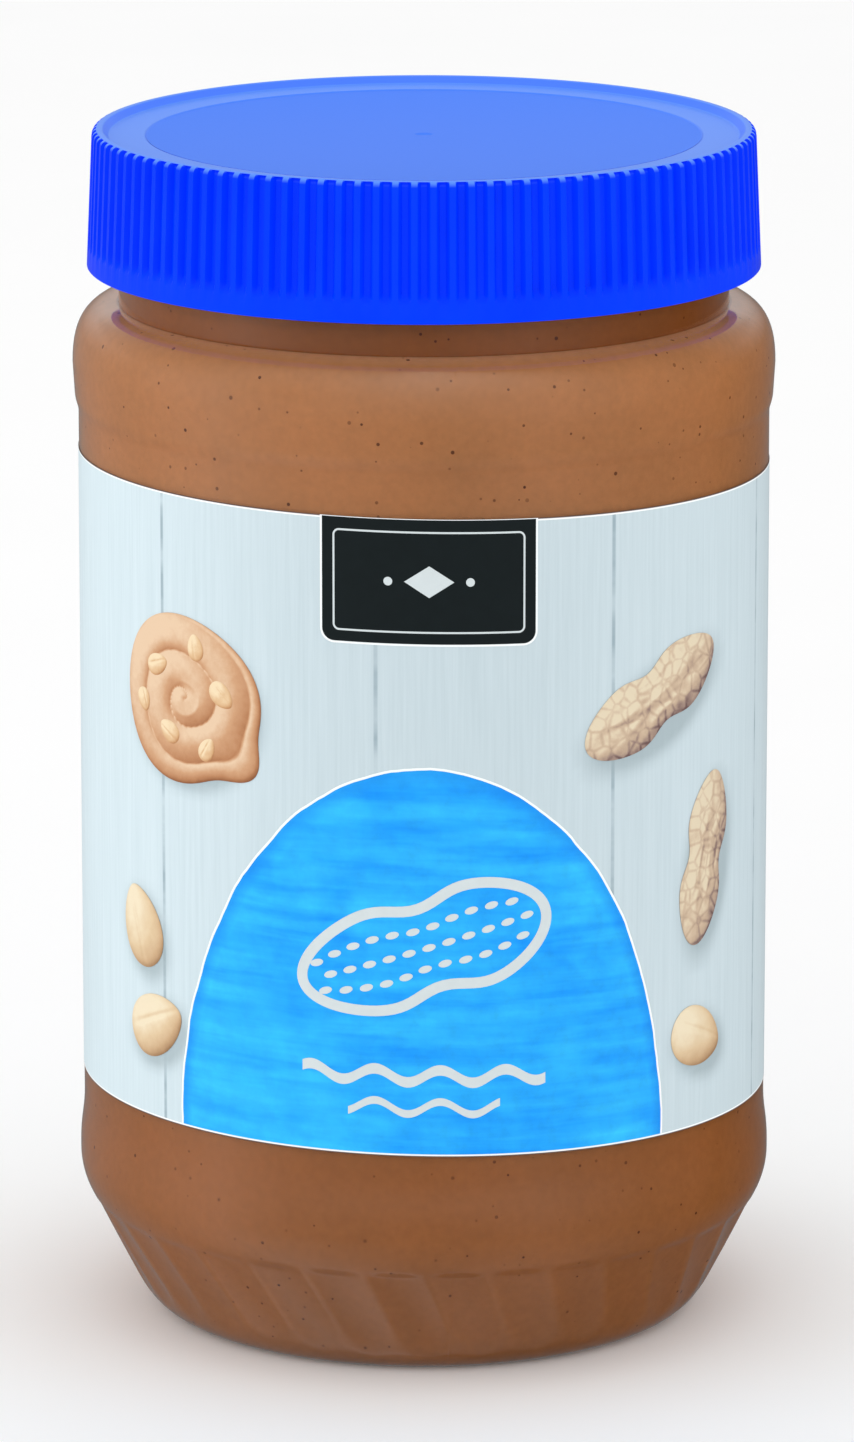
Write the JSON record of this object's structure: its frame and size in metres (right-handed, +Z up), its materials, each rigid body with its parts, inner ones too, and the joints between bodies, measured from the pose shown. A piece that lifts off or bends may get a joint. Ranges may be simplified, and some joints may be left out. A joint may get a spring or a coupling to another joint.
{
  "type": "peanut butter jar",
  "caption": "Clear wide-mouth plastic food jar with a fluted tapering foot, filled with peanut butter, with a wrap-round paper label and a ribbed screw lid, shut.",
  "frame": {"origin": "centre of the standing ring on the plane that the jar stands on", "axes": "+Z up along the jar's axis; the middle of the label's front faces -Y; +X to the right as seen from the front"},
  "size_m": [0.0984, 0.0984, 0.1692],
  "materials": {
    "clear_plastic": "clear, glossy, blow-moulded",
    "peanut_butter": "smooth oily paste with fine dark specks",
    "label_paper": "coated paper, printed, satin",
    "lid_plastic": "blue, moulded, satin"
  },
  "bodies": {
    "root": {"jar": "clear_plastic", "peanut_butter": "peanut_butter", "label": "label_paper", "lid": "lid_plastic"}
  },
  "joints": []
}
